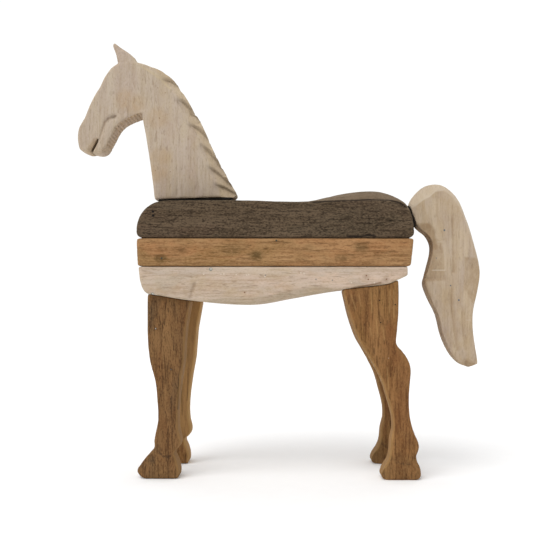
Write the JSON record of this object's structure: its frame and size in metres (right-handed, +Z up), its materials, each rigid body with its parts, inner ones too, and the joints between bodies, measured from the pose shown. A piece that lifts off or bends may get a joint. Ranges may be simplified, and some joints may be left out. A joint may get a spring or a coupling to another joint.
{
  "type": "wooden horse sculpture",
  "caption": "Carved standing horse of reclaimed timber: stacked plank body, board-cut head and neck, carved legs and a tail that leans on the rump.",
  "frame": {"origin": "centre of the bounding box on the floor under the hooves", "axes": "+Z up, -X the way the horse faces, -Y its left side"},
  "size_m": [0.564, 0.15, 0.5999],
  "materials": {
    "pale_wood": "whitewashed, brushed, matt",
    "belly_wood": "heavily whitewashed, matt",
    "dark_wood": "weathered dark stain, matt",
    "tan_wood": "bare weathered, matt",
    "leg_wood": "waxed brown, low sheen",
    "black_wood": "black stain, matt"
  },
  "bodies": {
    "root": {"head_and_neck": "pale_wood", "neck_block": "black_wood", "back_plank": "dark_wood", "middle_plank": "tan_wood", "belly_plank": "belly_wood", "front_left_leg": "leg_wood", "front_right_leg": "leg_wood", "hind_left_leg": "leg_wood", "hind_right_leg": "leg_wood", "tail": "pale_wood", "tail_block": "black_wood"}
  },
  "joints": []
}
